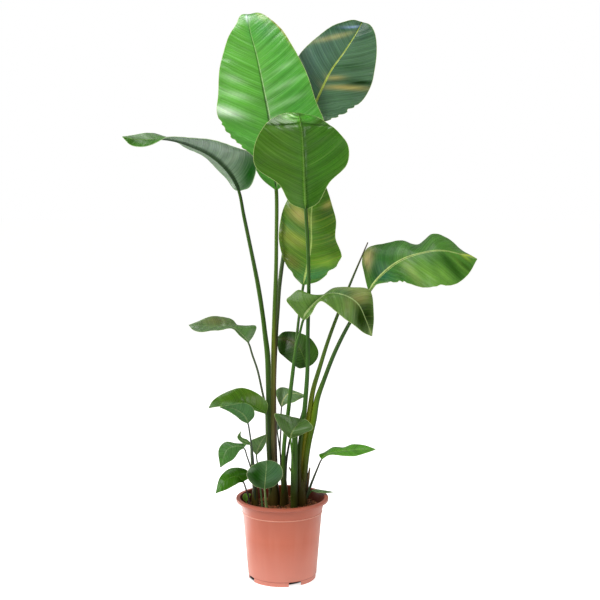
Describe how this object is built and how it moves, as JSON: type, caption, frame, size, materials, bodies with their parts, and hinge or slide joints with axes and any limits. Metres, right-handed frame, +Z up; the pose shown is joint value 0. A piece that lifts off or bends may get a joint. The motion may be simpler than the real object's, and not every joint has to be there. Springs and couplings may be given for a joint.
{
  "type": "potted bird of paradise plant",
  "caption": "Tall clump of paddle-shaped leaves on long bare stalks rising from dark potting mix in a tapered terracotta-coloured nursery pot with a rolled lip and notched foot.",
  "frame": {"origin": "on the floor, in the middle of the overall box of the plant and pot", "axes": "+Z up along the pot's axis and the plant's height, -Y towards the front of the plant as pictured, +X to the viewer's right"},
  "size_m": [0.886, 0.3832, 1.4847],
  "materials": {
    "pot": "satin",
    "soil": "matte",
    "stalk": "satin",
    "leaf": "satin"
  },
  "bodies": {
    "root": {"pot": "pot", "soil": "soil", "shoot_left": "stalk", "leaf_tall_left": "leaf", "leaf_tall_right": "leaf", "leaf_hanging_left": "leaf", "leaf_left_middle": "leaf", "leaf_low_left": "leaf", "shoot_middle": "stalk", "leaf_hanging_centre": "leaf", "leaf_bent_middle": "leaf", "leaf_dark_middle": "leaf", "leaf_low_centre": "leaf", "leaf_grey_behind": "leaf", "shoot_front": "stalk", "leaf_low_front": "leaf", "shoot_right": "stalk", "leaf_centre_front": "leaf", "leaf_large_right": "leaf", "leaf_low_right": "leaf", "leaf_over_rim": "leaf", "shoot_young": "stalk", "leaf_rolled_young": "leaf", "leaf_low_left_under": "leaf", "leaf_drooping_young": "leaf", "stalk_twisted_young": "stalk", "leaf_twisted_young": "leaf", "stalk_bottom_left": "stalk", "leaf_bottom_left": "leaf", "stalk_round_front": "stalk", "leaf_round_front": "leaf", "stalk_sprout": "stalk", "leaf_sprout": "leaf"}
  },
  "joints": []
}
